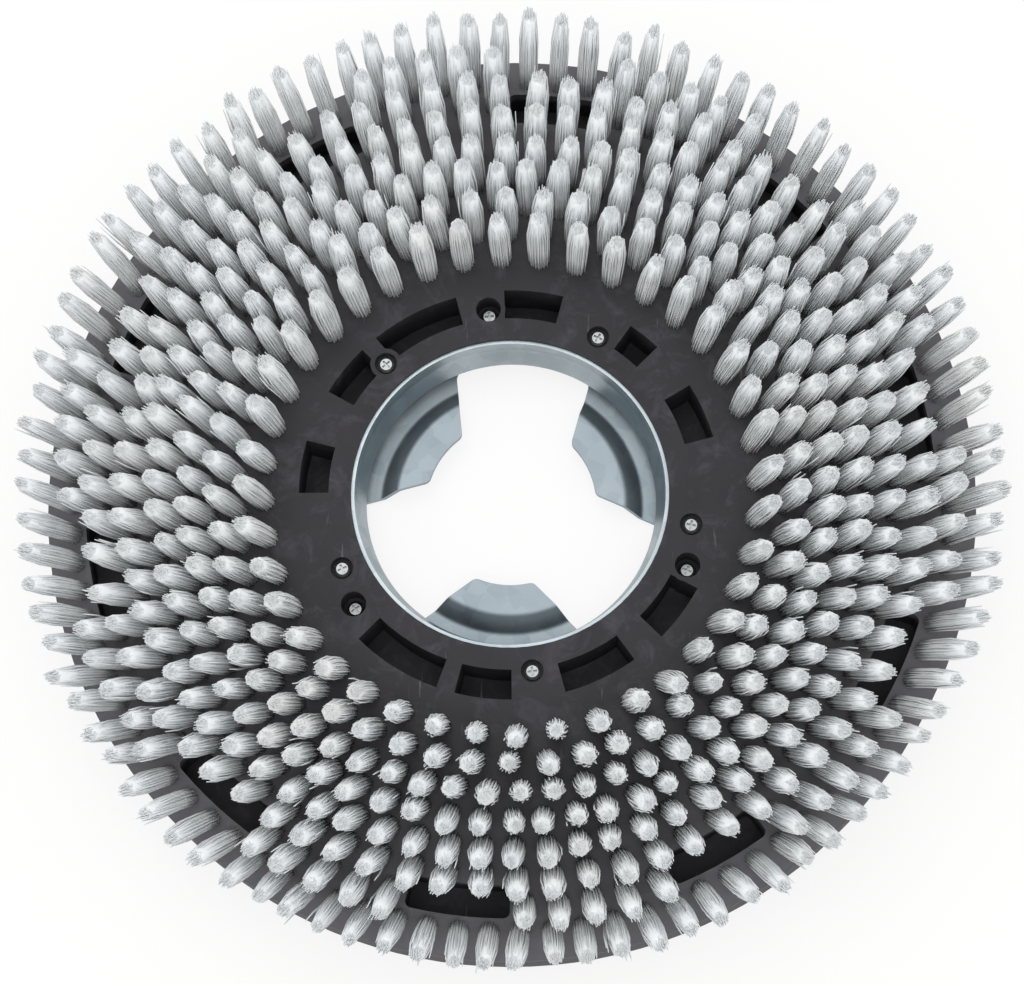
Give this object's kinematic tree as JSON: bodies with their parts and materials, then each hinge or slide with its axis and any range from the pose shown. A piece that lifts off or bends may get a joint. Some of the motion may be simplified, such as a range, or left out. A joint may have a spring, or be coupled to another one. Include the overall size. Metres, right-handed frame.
{
  "type": "floor scrubber brush",
  "caption": "Round floor scrubber brush: moulded plastic block with concentric rows of splayed bristle tufts, and a steel collar and lug plate that lock on a rotary machine's driver.",
  "frame": {"origin": "on the hub axis, at the plane of the block's back", "axes": "+Z along the hub axis through the bristles, +X and +Y in the plane of the back"},
  "size_m": [0.435, 0.435, 0.068],
  "materials": {
    "block_plastic": "satin moulded",
    "zinc_steel": "zinc plated",
    "screw_steel": "bright zinc",
    "bristle": "bundled filament"
  },
  "bodies": {
    "root": {"brush_block": "block_plastic", "hub_collar": "zinc_steel", "lug_plate": "zinc_steel", "face_screws": "screw_steel", "deep_screws": "screw_steel", "tuft_row_1": "bristle", "tuft_row_2": "bristle", "tuft_row_3": "bristle", "tuft_row_4": "bristle", "tuft_row_5": "bristle", "tuft_row_6": "bristle", "tuft_row_7": "bristle", "tuft_row_8": "bristle"}
  },
  "joints": []
}
